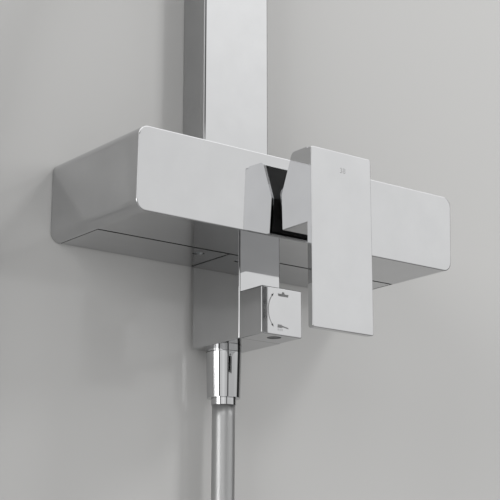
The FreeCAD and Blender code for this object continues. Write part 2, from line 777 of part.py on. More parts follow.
def make_diverter():
    body = Piece("diverter_body")
    left = diverter_x - d.diverter_width / 2
    body.box((d.diverter_width, d.diverter_depth, d.diverter_height), (left, diverter_front, diverter_bottom))
    body.round(d.diverter_edge, along("z"))
    body.round(d.diverter_edge / 2, in_plane("z", diverter_bottom))
    tongue_depth = d.panel_depth - d.seam_gap - d.diverter_back - d.diverter_edge
    body.box((d.diverter_width, tongue_depth, d.casing_wall), (left, d.seam_gap - d.panel_depth, bottom))
    bore_at = (diverter_x, diverter_front, knob_level)
    body.cylinder(d.diverter_bore_radius, d.diverter_bore_depth, bore_at, "y", cut=True)
    nipple_at = (outlet_x, -d.outlet_back, diverter_bottom)
    body.cylinder(d.nipple_root_radius, d.nipple_root_length, nipple_at, cut=True)
    neck_bottom = bottom - d.diverter_neck_depth
    neck_at = (diverter_x, -d.diverter_neck_back, neck_bottom)
    body.cylinder(d.diverter_neck_radius, d.diverter_neck_depth + d.casing_wall, neck_at, cut=True)
    neck = Piece("diverter_neck", neck_at)
    boss_bottom = -d.valve_height / 2 - d.outlet_boss_length
    shoulder = boss_bottom - neck_bottom
    neck.revolve([
        (d.diverter_neck_bore_radius, 0),
        (d.diverter_neck_radius, 0),
        (d.diverter_neck_radius, shoulder),
        (d.diverter_neck_thread_radius, shoulder),
        (d.diverter_neck_thread_radius, shoulder + d.outlet_boss_length),
        (d.diverter_neck_bore_radius, shoulder + d.outlet_boss_length),
    ])
    cartridge = Piece("diverter_cartridge", bore_at, "y")
    cartridge.cylinder(d.diverter_bore_radius, d.diverter_bore_depth, (0, 0, 0))
    cartridge.cylinder(d.spindle_bore_radius, d.spindle_depth, (0, 0, 0), cut=True)
    spindle_front = knob_rear - d.knob_bore_depth
    spindle_rear = diverter_front + d.spindle_depth - d.spindle_end_room
    spindle = Piece("diverter_spindle", (diverter_x, spindle_front, knob_level), "y")
    spindle.cylinder(spindle_radius, spindle_rear - spindle_front, (0, 0, 0))
    knob = Piece("diverter_knob")
    knob_at = (diverter_x - d.knob_width / 2, knob_front, diverter_bottom)
    knob.box((d.knob_width, d.knob_depth, d.knob_height), knob_at)
    knob.round(d.knob_corner, along("y"))
    knob.round(d.knob_edge, in_plane("y", knob_front))
    knob.cylinder(spindle_radius, d.knob_bore_depth, (diverter_x, spindle_front, knob_level), "y", cut=True)
    plug_hole = (diverter_x, grub_level, diverter_bottom)
    knob.cylinder(d.knob_plug_radius, d.knob_plug_depth, plug_hole, cut=True)
    knob.cylinder(d.grub_radius, d.knob_height / 2 - spindle_radius, plug_hole, cut=True)
    grub = Piece("knob_grub_screw", (diverter_x, grub_level, diverter_bottom + d.knob_plug_depth))
    grub.cylinder(d.grub_radius, d.knob_height / 2 - spindle_radius - d.knob_plug_depth, (0, 0, 0))
    plug = Piece("knob_plug", (diverter_x, grub_level, diverter_bottom + d.knob_plug_recess))
    plug.cylinder(d.knob_plug_radius, d.knob_plug_depth - d.knob_plug_recess, (0, 0, 0))


def make_connection(prefix, x, y, seat):
    """Washer, conical nut and ferrule under a threaded nipple whose shoulder is just above the seat level."""
    washer_top = d.nipple_length - d.hose_nut_gap
    washer_bottom = washer_top + d.washer_thickness
    nut = Piece(prefix + "_hose_nut", (x, y, seat), "-z")
    nut.cone(d.hose_nut_top_radius, d.hose_nut_bottom_radius, d.hose_nut_height, (0, 0, 0))
    nut.cylinder(d.nipple_radius, d.hose_nut_thread_depth, (0, 0, 0), cut=True)
    nut.cylinder(d.ferrule_radius, d.hose_nut_height, (0, 0, 0), cut=True)
    washer = Piece(prefix + "_washer", (x, y, seat - washer_top), "-z")
    washer.cylinder(d.washer_radius, d.washer_thickness, (0, 0, 0))
    washer.cylinder(d.nipple_bore_radius, d.washer_thickness, (0, 0, 0), cut=True)
    ferrule = Piece(prefix + "_ferrule", (x, y, seat), "-z")
    ferrule.revolve([
        (d.ferrule_bore_radius, washer_bottom),
        (d.washer_radius, washer_bottom),
        (d.washer_radius, d.hose_nut_thread_depth),
        (d.ferrule_radius, d.hose_nut_thread_depth),
        (d.ferrule_radius, d.hose_nut_height),
        (d.ferrule_ring_radius, d.hose_nut_height),
        (d.ferrule_ring_radius, d.hose_nut_height + d.ferrule_ring_height),
        (d.ferrule_bore_radius, d.hose_nut_height + d.ferrule_ring_height),
    ])


def make_outlet():
    nipple = Piece("outlet_nipple", (outlet_x, -d.outlet_back, diverter_bottom), "-z")
    thread_end = d.nipple_collar_height + d.nipple_length
    nipple.cylinder(d.nipple_collar_radius, d.nipple_collar_height, (0, 0, 0))
    nipple.cylinder(d.nipple_radius, thread_end, (0, 0, 0))
    nipple.cylinder(d.nipple_root_radius, d.nipple_root_length, (0, 0, 0), "-z")
    bore = thread_end + d.nipple_root_length
    nipple.cylinder(d.nipple_bore_radius, bore, (0, 0, thread_end), "-z", cut=True)
    make_connection("mixer", outlet_x, -d.outlet_back, outlet_seat)


def hose_points():
    """The hose's route, from the mixer's ferrule to the hand shower's."""
    drop = d.hose_nut_height + d.ferrule_ring_height
    start = outlet_seat - drop
    end = d.hand_seat - drop
    first = FreeCAD.Vector(outlet_x.value, -d.outlet_back.value, start.value)
    last = FreeCAD.Vector(hand_x.value, hand_y.value, end.value)
    down = FreeCAD.Vector(0, 0, HOSE_FIRST_RUN)
    up = FreeCAD.Vector(0, 0, HOSE_LAST_RUN)
    between = [FreeCAD.Vector(*point) for point in HOSE_ROUTE]
    return [first, first - down, *between, last - up, last]


def rounded_path(points):
    """Straight runs joined by tangent arcs, each as large as its two runs allow."""
    edges = []
    radii = []
    here = points[0]
    for before, corner, after in zip(points, points[1:], points[2:]):
        arriving = (corner - before).normalize()
        leaving = (after - corner).normalize()
        half_turn = arriving.getAngle(leaving) / 2
        setback = ROUTE_ROUND_SHARE * min(before.distanceToPoint(corner), corner.distanceToPoint(after))
        radius = setback / math.tan(half_turn)
        arc_start = corner - arriving * setback
        arc_end = corner + leaving * setback
        inward = (leaving - arriving).normalize()
        arc_middle = corner + inward * (radius / math.cos(half_turn) - radius)
        edges.append(Part.LineSegment(here, arc_start).toShape())
        edges.append(Part.Arc(arc_start, arc_middle, arc_end).toShape())
        radii.append(radius)
        here = arc_end
    edges.append(Part.LineSegment(here, points[-1]).toShape())
    return Part.Wire(edges), radii


def make_hose():
    points = hose_points()
    path, radii = rounded_path(points)
    section = Part.Wire([Part.Circle(points[0], points[1] - points[0], d.hose_radius.value).toShape()])
    shape = path.makePipeShell([section], True, False)
    hose = doc.addObject("Part::Feature", "hose")
    hose.Shape = shape
    hose.Placement = FreeCAD.Placement()
    expected = math.pi * d.hose_radius.value ** 2 * path.Length
    print("hose length", round(path.Length, 1), "volume share", round(shape.Volume / expected, 4))
    print("hose radii", [round(radius) for radius in radii])
    return hose


def make_column():
    column = Piece("column")
    column.box((d.column_width, d.column_depth, d.column_height), (-d.column_width / 2, -d.column_depth, top))
    column.round(d.column_edge, both(along("z"), in_plane("y", -d.column_depth)))
    inner_width = d.column_width - d.column_wall * 2
    inner_depth = d.column_depth - d.column_wall
    inner_at = (-inner_width / 2, -inner_depth, top - d.overrun)
    column.box((inner_width, inner_depth + d.overrun, d.column_height + d.overrun * 2), inner_at, cut=True)
    connector = Piece("riser_connector", (0, riser_y, d.valve_height / 2 - d.riser_root_length))
    hex_bottom = d.riser_root_length + d.riser_hex_level - d.valve_height / 2
    length = hex_bottom + d.riser_hex_height + d.riser_top_length
    connector.cylinder(d.riser_thread_radius, length, (0, 0, 0))
    connector.hexagon(d.riser_hex_flats, d.riser_hex_height, (0, 0, hex_bottom))
    connector.cylinder(d.riser_bore_radius, length, (0, 0, 0), cut=True)
    pipe_bottom = d.riser_hex_level + d.riser_hex_height
    pipe = Piece("riser_pipe", (0, riser_y, pipe_bottom))
    pipe.cylinder(d.riser_pipe_radius, column_top - pipe_bottom, (0, 0, 0))
    pipe.cylinder(d.riser_thread_radius, column_top - pipe_bottom, (0, 0, 0), cut=True)
    brackets = Piece("column_brackets")
    screws = Piece("column_set_screws")
    for level in (top + d.bracket_low_rise, column_top - d.bracket_high_drop):
        low = level - d.bracket_height / 2
        plate_at = (-inner_width / 2, -d.bracket_plate, low)
        brackets.box((inner_width, d.bracket_plate, d.bracket_height), plate_at)
        ear_depth = d.bracket_ear_depth + d.bracket_plate
        for side in (-1, 1):
            ear_x = (inner_width / 2 - d.bracket_ear / 2) * side - d.bracket_ear / 2
            brackets.box((d.bracket_ear, ear_depth, d.bracket_height), (ear_x, -ear_depth, low))
            hole = (d.bracket_hole_spacing / 2 * side, -d.bracket_plate, level)
            brackets.cylinder(d.bracket_hole_radius, d.bracket_plate, hole, "y", cut=True)
        screw_at = (d.column_width / 2 - d.column_wall - d.bracket_ear, -d.set_screw_back, level)
        screw_length = d.column_wall + d.bracket_ear
        brackets.cylinder(d.set_screw_radius, screw_length, screw_at, "x", cut=True)
        column.cylinder(d.set_screw_radius, screw_length, screw_at, "x", cut=True)
        screws.cylinder(d.set_screw_radius, screw_length, screw_at, "x")


def make_overhead():
    head = Piece("column_head")
    head_at = (-d.column_width / 2, -d.column_depth, column_top)
    head.box((d.column_width, d.column_depth, d.head_height), head_at)
    head.round(d.column_edge, both(along("z"), in_plane("y", -d.column_depth)))
    head.round(d.column_edge / 2, in_plane("z", column_top + d.head_height))
    head.cylinder(d.riser_bore_radius, d.head_height / 2, (0, riser_y, column_top), cut=True)
    way_out = (0, riser_y, column_top + d.head_height / 2)
    head.cylinder(d.riser_bore_radius, d.column_depth, way_out, "-y", cut=True)
    arm = Piece("overhead_arm")
    arm.box((d.arm_width, d.arm_length, d.arm_height), (-d.arm_width / 2, arm_front, arm_bottom))
    arm.round(d.arm_edge, along("y"))
    arm.round(d.arm_edge / 2, in_plane("y", arm_front))
    inner_width = d.arm_width - d.arm_wall * 2
    inner_height = d.arm_height - d.arm_wall * 2
    inner_at = (-inner_width / 2, arm_front + d.arm_wall, arm_bottom + d.arm_wall)
    arm.box((inner_width, d.arm_length, inner_height), inner_at, cut=True)
    clevis = Piece("head_clevis")
    half = d.clevis_width / 2
    clevis.box((d.clevis_width, d.clevis_width, d.clevis_plate), (-half, clevis_y - half, clevis_top))
    for ear_x in (-half, half - d.clevis_ear):
        ear_depth = d.clevis_ear_radius * 2
        ear_at = (ear_x, clevis_y - d.clevis_ear_radius, hinge_level)
        clevis.box((d.clevis_ear, ear_depth, d.clevis_drop), ear_at)
        clevis.cylinder(d.clevis_ear_radius, d.clevis_ear, (ear_x, clevis_y, hinge_level), "x")
    clevis.cylinder(d.hinge_pin_radius, d.clevis_width, (-half, clevis_y, hinge_level), "x", cut=True)
    pin = Piece("hinge_pin", (-half, clevis_y, hinge_level), "x")
    pin.cylinder(d.hinge_pin_radius, d.clevis_width, (0, 0, 0))


def make_rain_head():
    neck = Piece("rain_neck")
    tongue_half = tongue_width / 2
    neck.cylinder(d.clevis_ear_radius, tongue_width, (-tongue_half, clevis_y, hinge_level), "x")
    tongue_at = (-tongue_half, clevis_y - d.clevis_ear_radius, rain_flange_bottom)
    neck.box((tongue_width, d.clevis_ear_radius * 2, d.rain_neck_drop), tongue_at)
    neck.cylinder(d.rain_flange_radius, d.rain_flange_height, (0, clevis_y, rain_flange_bottom))
    hinge_hole = d.hinge_pin_radius + d.running_clearance
    neck.cylinder(hinge_hole, tongue_width, (-tongue_half, clevis_y, hinge_level), "x", cut=True)
    half = d.rain_width / 2
    shell = Piece("rain_shell")
    shell.box((d.rain_width, d.rain_width, d.rain_height), (-half, clevis_y - half, rain_bottom))
    shell.round(d.rain_corner, along("z"))
    shell.round(d.rain_edge, in_plane("z", rain_flange_bottom))
    inside = d.rain_width - d.rain_wall * 2
    inside_at = (-inside / 2, clevis_y - inside / 2, rain_bottom)
    shell.box((inside, inside, d.rain_height - d.rain_top), inside_at, cut=True)
    face = Piece("rain_face")
    face.box((inside, inside, d.rain_face_thickness), inside_at)
    mat = Piece("rain_nozzles")
    mat_width = inside - d.rain_mat_margin * 2
    mat_level = rain_bottom + d.rain_face_thickness
    mat_at = (-mat_width / 2, clevis_y - mat_width / 2, mat_level)
    mat.box((mat_width, mat_width, d.rain_mat_thickness), mat_at)
    reach = row_length(d.nozzle_pitch, RAIN_NOZZLE_COUNT) / 2
    nozzle_y = clevis_y - reach
    face.cylinder(d.nozzle_radius, d.rain_face_thickness, (-reach, nozzle_y, rain_bottom), cut=True)
    face.grid("X_Axis", "Y_Axis", d.nozzle_pitch, RAIN_NOZZLE_COUNT, RAIN_NOZZLE_COUNT)
    nub_length = d.rain_face_thickness + d.nozzle_proud
    mat.cylinder(d.nozzle_radius, nub_length, (-reach, nozzle_y, rain_bottom - d.nozzle_proud))
    mat.grid("X_Axis", "Y_Axis", d.nozzle_pitch, RAIN_NOZZLE_COUNT, RAIN_NOZZLE_COUNT)


def make_holder():
    clamp = Piece("holder_clamp")
    width = d.column_width + d.holder_wall * 2
    depth = d.column_depth + d.holder_wall - d.holder_wall_gap
    clamp_front = -d.column_depth - d.holder_wall
    clamp.box((width, depth, cradle_height), (-width / 2, clamp_front, cradle_bottom))
    clamp.round(d.column_edge, both(along("z"), in_plane("y", clamp_front)))
    grip_at = (-d.column_width / 2, -d.column_depth, cradle_bottom)
    clamp.box((d.column_width, depth, cradle_height), grip_at, cut=True)
    cradle = Piece("holder_cradle")
    cradle_left = hand_x - d.cradle_side
    cradle_width = -width / 2 - cradle_left
    cradle_front = hand_y - d.cradle_half_depth
    cradle_at = (cradle_left, cradle_front, cradle_bottom)
    cradle.box((cradle_width, d.cradle_half_depth * 2, cradle_height), cradle_at)
    cradle.round(d.cradle_corner, both(along("z"), in_plane("x", cradle_left)))
    taper = (d.hose_nut_top_radius - d.hose_nut_bottom_radius) / d.hose_nut_height
    seat_radius = d.hose_nut_top_radius + d.moving_clearance
    seat_top = seat_radius - taper * d.cradle_above
    seat_low = seat_radius - taper * d.cradle_below
    cradle.cone(seat_low, seat_top, cradle_height, (hand_x, hand_y, cradle_bottom), cut=True)
    slot_at = (hand_x - d.cradle_slot / 2, cradle_front, cradle_bottom)
    cradle.box((d.cradle_slot, d.cradle_half_depth, cradle_height), slot_at, cut=True)
    screw_level = cradle_bottom + cradle_height / 2
    screw_at = (d.column_width / 2, riser_y, screw_level)
    screw = Piece("holder_screw", screw_at, "x")
    screw.cylinder(d.holder_screw_radius, d.holder_wall, (0, 0, 0))
    screw.cylinder(d.holder_screw_head_radius, d.holder_screw_head_height, (0, 0, d.holder_wall))
    clamp.cylinder(d.holder_screw_radius, d.holder_wall, screw_at, "x", cut=True)


def make_handset():
    body = Piece("handset_body")
    left = hand_x - d.hand_width / 2
    body.box((d.hand_width, d.hand_depth, d.hand_length), (left, hand_front, hand_box_bottom))
    body.round(d.hand_corner, along("z"))
    body.round(d.hand_edge, in_plane("z", hand_top))
    body.round(d.hand_edge, in_plane("z", hand_box_bottom))
    body.cylinder(d.hand_collar_radius, d.hand_collar_height, (hand_x, hand_y, hand_bottom))
    body.cylinder(d.nipple_radius, d.nipple_length, (hand_x, hand_y, hand_bottom - d.nipple_length))
    pocket_left = hand_x - d.hand_face_width / 2
    pocket_bottom = hand_face_top - d.hand_face_length
    pocket_at = (pocket_left, hand_front, pocket_bottom)
    body.box((d.hand_face_width, d.hand_pocket_depth, d.hand_face_length), pocket_at, cut=True)
    bore_bottom = hand_bottom - d.nipple_length
    bore_length = hand_box_bottom + d.hand_length - d.hand_face_margin * 2 - bore_bottom
    body.cylinder(d.hand_bore_radius, bore_length, (hand_x, hand_y, bore_bottom), cut=True)
    face = Piece("handset_face")
    face.box((d.hand_face_width, d.hand_face_thickness, d.hand_face_length), pocket_at)
    nozzles = Piece("handset_nozzles")
    mat_at = (pocket_left, hand_front + d.hand_face_thickness, pocket_bottom)
    nozzles.box((d.hand_face_width, d.hand_mat_thickness, d.hand_face_length), mat_at)
    x = hand_x - row_length(d.hand_nozzle_pitch, HAND_NOZZLE_ACROSS_COUNT) / 2
    row = row_length(d.hand_nozzle_pitch, HAND_NOZZLE_ALONG_COUNT)
    z = pocket_bottom + (d.hand_face_length - row) / 2
    face.cylinder(d.nozzle_radius, d.hand_face_thickness, (x, hand_front, z), "y", cut=True)
    face.grid("X_Axis", "Z_Axis", d.hand_nozzle_pitch, HAND_NOZZLE_ACROSS_COUNT, HAND_NOZZLE_ALONG_COUNT)
    nub_length = d.hand_face_thickness + d.nozzle_proud
    nozzles.cylinder(d.nozzle_radius, nub_length, (x, hand_front - d.nozzle_proud, z), "y")
    nozzles.grid("X_Axis", "Z_Axis", d.hand_nozzle_pitch, HAND_NOZZLE_ACROSS_COUNT, HAND_NOZZLE_ALONG_COUNT)
    make_connection("hand", hand_x, hand_y, d.hand_seat)


make_casing()
make_service_panel()
make_valve_body()
make_unions()
make_cartridge()
make_lever()
make_diverter()
make_outlet()
make_column()
make_overhead()
make_rain_head()
make_holder()
make_handset()
subparts = [piece.body for piece in pieces]
subparts.append(make_hose())
doc.recompute()

for feature in doc.Objects:
    if "Invalid" in feature.State or "Error" in feature.State:
        raise RuntimeError(f"{feature.Label} failed: {feature.State}")
for part in subparts:
    if part.Shape.isNull() or not part.Shape.isValid() or not part.Shape.Solids:
        raise RuntimeError(f"{part.Label} has no valid solid")

os.makedirs("parts", exist_ok=True)
for part in subparts:
    part.Shape.exportStep(os.path.join("parts", part.Label + ".step"))
print(len(subparts), "sub-parts written")
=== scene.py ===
"""Looks of the wall-mounted shower set: finishes, hose, printed signs, wall, floor, light and camera.

Metres, in the part's own frame. The wall is the plane Y = 0, the set stands out of it towards -Y, and +Z is
up.
"""
import bmesh
import bpy
import json
import math
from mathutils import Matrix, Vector


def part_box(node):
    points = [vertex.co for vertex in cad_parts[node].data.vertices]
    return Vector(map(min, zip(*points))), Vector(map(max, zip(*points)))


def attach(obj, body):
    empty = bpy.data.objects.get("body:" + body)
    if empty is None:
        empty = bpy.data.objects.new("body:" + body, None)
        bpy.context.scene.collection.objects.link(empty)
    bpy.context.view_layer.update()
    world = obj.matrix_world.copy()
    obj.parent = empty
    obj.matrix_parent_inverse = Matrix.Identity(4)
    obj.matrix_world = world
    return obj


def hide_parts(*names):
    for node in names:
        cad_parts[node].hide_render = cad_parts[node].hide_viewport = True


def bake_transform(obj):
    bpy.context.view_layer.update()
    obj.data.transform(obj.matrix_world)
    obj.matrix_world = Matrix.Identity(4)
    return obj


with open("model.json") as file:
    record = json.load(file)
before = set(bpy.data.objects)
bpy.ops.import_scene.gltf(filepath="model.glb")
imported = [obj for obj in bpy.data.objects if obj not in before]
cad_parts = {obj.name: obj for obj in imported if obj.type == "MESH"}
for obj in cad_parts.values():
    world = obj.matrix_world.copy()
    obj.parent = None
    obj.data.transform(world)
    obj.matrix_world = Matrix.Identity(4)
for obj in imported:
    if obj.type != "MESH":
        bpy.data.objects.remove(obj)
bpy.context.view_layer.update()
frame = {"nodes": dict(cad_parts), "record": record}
nodes = frame["nodes"]
scene = bpy.context.scene

MM = 0.001

# Camera: it looks up at the mixer from the lower left
CAMERA_PLACE = (-0.64877, -0.8810, -0.29148)
CAMERA_HEADING = 37.75
CAMERA_PITCH = 14.34
CAMERA_LENS = 109.26
CAMERA_SENSOR = 36.0

# Hose: the points of its route in millimetres, from the mixer's ferrule to the hand shower's, and its tube's
# size
HOSE_ROUTE = [
    (-4.9, -18.6, -131.0),
    (-4.9, -18.6, -206.0),
    (-8.0, -18.6, -285.0),
    (-12.0, -18.7, -362.0),
    (-19.0, -18.9, -434.0),
    (-54.0, -19.2, -489.5),
    (-115.0, -19.5, -510.5),
    (-180.0, -19.8, -489.5),
    (-220.0, -20.1, -434.0),
    (-226.0, -20.5, -350.0),
    (-230.0, -21.3, -255.0),
    (-232.0, -22.5, -150.0),
    (-232.0, -24.0, -45.0),
    (-229.0, -25.5, 60.0),
    (-213.0, -27.0, 150.0),
    (-172.0, -28.3, 221.0),
    (-117.0, -29.2, 271.0),
    (-74.0, -29.8, 317.0),
    (-55.0, -30.0, 366.3),
    (-55.0, -30.0, 476.3),
]
HOSE_DIAMETER = 16.6 * MM
HOSE_SIDES = 32
HOSE_STEPS = 16

# Printed signs: their depth on the surface, and their places and sizes in millimetres seen from the front.
# The corners of a pictogram are shares of half its width and of its height
PRINT_DEPTH = 0.03 * MM
KNOB_ARC_CENTRE = (0.7, -73.2)
KNOB_ARC_RADIUS = 17.0
KNOB_ARC_HALF_ANGLE = 40.0
KNOB_ARC_WIDTH = 0.6
KNOB_ARC_STEPS = 24
KNOB_ARROW_LENGTH = 2.4
KNOB_ARROW_WIDTH = 2.0
RAIN_SIGN_PLACE = (-3.1, -62.9)
RAIN_SIGN_WIDTH = 9.6
RAIN_SIGN_HEIGHT = 3.2
RAIN_PLATE = [(-0.88, 0.0), (0.88, 0.0), (1.0, 0.58), (-1.0, 0.58)]
RAIN_STUB = [(-0.25, 0.58), (0.25, 0.58), (0.2, 1.0), (-0.2, 1.0)]
HAND_SIGN_PLACE = (-3.5, -85.1)
HAND_SIGN_WIDTH = 9.8
HAND_SIGN_HEIGHT = 2.3
HAND_HEAD = [(-1.0, 0.0), (-0.1, 0.0), (-0.2, 1.0), (-0.9, 1.0)]
HAND_HANDLE = [(-0.15, 0.3), (1.0, -0.1), (1.0, 0.3), (-0.15, 0.8)]
JET_PLACES = (-0.9, -0.55, -0.2)
JET_HEIGHTS = (-0.9, -0.3)
JET_WIDTH = 0.5
NUMBER_TEXT = "38"
NUMBER_PLACE = (1.0, 14.2)
NUMBER_HEIGHT = 3.7
FIGURE_SHARE = 0.7
INK_GREY = 0.2
PALE_INK_GREY = 0.36
INK_SPREAD = 0.05

# Finishes by material slot. A noise of (scale, detail) varies the roughness over a range and the colour from
# dark to light, and some have a bump of (strength, depth)
EVEN = (1.0, 1.0, 1.0)
NOISE_RANGE = (0.3, 0.7)
NOISE_RAMP = (0.35, 0.65)
FINISHES = {
    "chrome": dict(
        name="chrome", colour=(0.56, 0.563, 0.568), metallic=1.0, roughness=0.04, noise=(38.0, 4.0),
        rough=(0.025, 0.06), dark=(0.55, 0.553, 0.558), light=(0.57, 0.573, 0.578),
    ),
    "brass": dict(
        name="brass", colour=(0.62, 0.45, 0.2), metallic=1.0, roughness=0.3, noise=(260.0, 3.0),
        rough=(0.22, 0.42), dark=(0.5, 0.35, 0.15), light=(0.68, 0.5, 0.24),
        stretch=(0.15, 1.0, 0.15), bump=(0.15, 0.1 * MM),
    ),
    "steel": dict(
        name="steel", colour=(0.42, 0.43, 0.44), metallic=1.0, roughness=0.3, noise=(320.0, 3.0),
        rough=(0.22, 0.4), dark=(0.36, 0.37, 0.38), light=(0.5, 0.51, 0.52), stretch=(0.1, 1.0, 1.0),
    ),
    "rubber": dict(
        name="rubber", colour=(0.03, 0.03, 0.03), metallic=0.0, roughness=0.6, noise=(900.0, 4.0),
        rough=(0.5, 0.75), dark=(0.02, 0.02, 0.02), light=(0.045, 0.045, 0.045), bump=(0.2, 0.05 * MM),
    ),
    "plastic": dict(
        name="moulded_plastic", colour=(0.7, 0.68, 0.62), metallic=0.0, roughness=0.42, noise=(700.0, 4.0),
        rough=(0.35, 0.5), dark=(0.66, 0.64, 0.58), light=(0.74, 0.72, 0.66), bump=(0.1, 0.05 * MM),
    ),
    "ceramic": dict(
        name="ceramic", colour=(0.84, 0.83, 0.78), metallic=0.0, roughness=0.15, noise=(500.0, 4.0),
        rough=(0.1, 0.2), dark=(0.81, 0.8, 0.75), light=(0.87, 0.86, 0.82),
    ),
    "plug": dict(
        name="plug_plastic", colour=(0.035, 0.035, 0.036), metallic=0.0, roughness=0.45, noise=(800.0, 4.0),
        rough=(0.38, 0.55), dark=(0.028, 0.028, 0.029), light=(0.045, 0.045, 0.046), bump=(0.15, 0.05 * MM),
    ),
    "nozzle": dict(
        name="silicone", colour=(0.2, 0.21, 0.215), metallic=0.0, roughness=0.5, noise=(600.0, 4.0),
        rough=(0.42, 0.6), dark=(0.17, 0.18, 0.185), light=(0.23, 0.24, 0.245),
    ),
    "hose": dict(
        name="hose_skin", colour=(0.43, 0.432, 0.431), metallic=0.88, roughness=0.39, noise=(420.0, 3.0),
        rough=(0.38, 0.4), dark=(0.42, 0.422, 0.421), light=(0.44, 0.442, 0.441), stretch=(1.0, 1.0, 0.03),
    ),
}

# Wall and floor of the studio
WALL_BEHIND = 0.4 * MM
STAGE_REACH = 12.0
FLOOR_LEVEL = -1.1
WALL_COLOUR = (0.48, 0.477, 0.469)
WALL_ROUGHNESS = 0.12
FLOOR_COLOUR = (0.72, 0.72, 0.71)
FLOOR_ROUGHNESS = 0.6
STAGE_NOISE = (250.0, 2.0)
STAGE_SPREAD = 0.02

# Light: the mirrored room's brightness by height above the level in degrees, and its share by heading in
# degrees, counted from straight into the wall towards the right. A bright window on the left adds to it, and
# two dark patches in front take from it
ROOM_COLOUR = (1.0, 1.0, 1.0)
ROOM_BY_HEIGHT = [
    (-90, 0.4), (-25, 0.45), (-14, 0.55), (-9, 0.68), (7, 0.68), (11, 0.97), (12, 1.0), (17, 1.03),
    (19, 1.1), (23, 1.25), (40, 1.6), (55, 1.8), (90, 1.6),
]
ROOM_BY_HEADING = [
    (0, 0.7), (72, 0.7), (75, 0.04), (114, 0.04), (117, 1.0), (130, 1.08), (136, 1.08), (141, 1.03),
    (146, 1.0), (183.5, 1.0), (185, 0.12), (192, 0.12), (193.5, 1.0), (205, 1.15), (215, 1.45), (222, 1.45),
    (230, 1.25), (241.5, 1.25), (243, 0.1), (251, 0.1), (252.5, 1.1), (295, 1.1), (299, 0.7),
]
WINDOW_BY_HEIGHT = [(-90, 0.0), (-12, 0.0), (-8, 4.5), (9, 4.5), (12, 0.0), (90, 0.0)]
WINDOW_BY_HEADING = [(0, 0.0), (251, 0.0), (252.5, 1.0), (270, 1.0), (296, 0.6), (299, 0.0)]
LOW_GLOOM_BY_HEIGHT = [(-90, 0.0), (-18, 0.0), (-16, 0.8), (-12.5, 0.8), (-10, 0.0), (90, 0.0)]
LOW_GLOOM_BY_HEADING = [(0, 0.0), (188, 0.0), (192, 1.0), (246, 1.0), (250, 0.0)]
HIGH_GLOOM_BY_HEIGHT = [(-90, 0.0), (18, 0.0), (19, 0.85), (25, 0.85), (28, 0.0), (90, 0.0)]
HIGH_GLOOM_BY_HEADING = [(0, 0.0), (151, 0.0), (155, 1.0), (235, 1.0), (240, 0.0)]
EVEN_ROOM_HEIGHT = (25, 50)

# Light on dull surfaces: the room's even brightness by height, and soft lights at one distance as (name,
# heading, height, size, brightness)
DULL_BY_HEIGHT = [(-90, 0.865), (-10, 0.865), (10, 0.3), (90, 0.3)]
SOFTBOX_DISTANCE = 3.0
SOFTBOXES = [
    ("right", 110, 15, 1.75, 2.6),
    ("front_low", 141, 10, 0.5, 6.2),
    ("front_high", 141, 40, 0.5, 27.4),
    ("front", 150, 20, 0.9, 1.8),
    ("window", 251, 20, 1.75, 4.9),
]
BACKGROUND_COLOUR = (0.86, 0.86, 0.86)


def make_camera():
    heading = math.radians(CAMERA_HEADING)
    pitch = math.radians(CAMERA_PITCH)
    level = math.cos(pitch)
    forward = Vector((math.sin(heading) * level, math.cos(heading) * level, math.sin(pitch)))
    data = bpy.data.cameras.new("camera")
    data.lens = CAMERA_LENS
    data.sensor_width = CAMERA_SENSOR
    camera = bpy.data.objects.new("camera", data)
    camera.location = CAMERA_PLACE
    camera.rotation_euler = forward.to_track_quat("-Z", "Y").to_euler()
    scene.collection.objects.link(camera)
    scene.camera = camera


def smooth_line(route, steps):
    """Points along the spline that has the route's points as its control points."""
    curve = bpy.data.curves.new("route", "CURVE")
    curve.dimensions = "3D"
    curve.resolution_u = steps
    spline = curve.splines.new("NURBS")
    spline.points.add(len(route) - 1)
    for point, place in zip(spline.points, route):
        point.co = (*place, 1.0)
    spline.order_u = 3
    spline.use_endpoint_u = True
    carrier = bpy.data.objects.new("route", curve)
    mesh = bpy.data.meshes.new_from_object(carrier)
    points = [vertex.co.copy() for vertex in mesh.vertices]
    bpy.data.objects.remove(carrier)
    bpy.data.curves.remove(curve)
    bpy.data.meshes.remove(mesh)
    return points


def add_object(name, bm, smooth):
    mesh = bpy.data.meshes.new(name)
    bmesh.ops.recalc_face_normals(bm, faces=bm.faces)
    bm.to_mesh(mesh)
    bm.free()
    for face in mesh.polygons:
        face.use_smooth = smooth and len(face.vertices) == 4
    piece = bpy.data.objects.new(name, mesh)
    scene.collection.objects.link(piece)
    return piece


def make_tube(name, line, radius, sides):
    """A closed round tube along a line, without twist."""
    bm = bmesh.new()
    rings = []
    tangent = (line[1] - line[0]).normalized()
    across = tangent.orthogonal().normalized()
    for i, centre in enumerate(line):
        before = line[max(i - 1, 0)]
        after = line[min(i + 1, len(line) - 1)]
        turned = (after - before).normalized()
        across = tangent.rotation_difference(turned) @ across
        tangent = turned
        other = tangent.cross(across)
        ring = []
        for k in range(sides):
            angle = 2 * math.pi * k / sides
            ring.append(bm.verts.new(centre + (across * math.cos(angle) + other * math.sin(angle)) * radius))
        rings.append(ring)
    for lower, upper in zip(rings, rings[1:]):
        for k in range(sides):
            following = (k + 1) % sides
            bm.faces.new((lower[k], lower[following], upper[following], upper[k]))
    bm.faces.new(rings[0])
    bm.faces.new(rings[-1])
    return add_object(name, bm, smooth=True)


def make_hose():
    route = [Vector(point) * MM for point in HOSE_ROUTE]
    line = smooth_line(route, HOSE_STEPS)
    hose = make_tube("hose_tube", line, HOSE_DIAMETER / 2, HOSE_SIDES)
    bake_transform(hose)
    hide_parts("hose")
    return hose


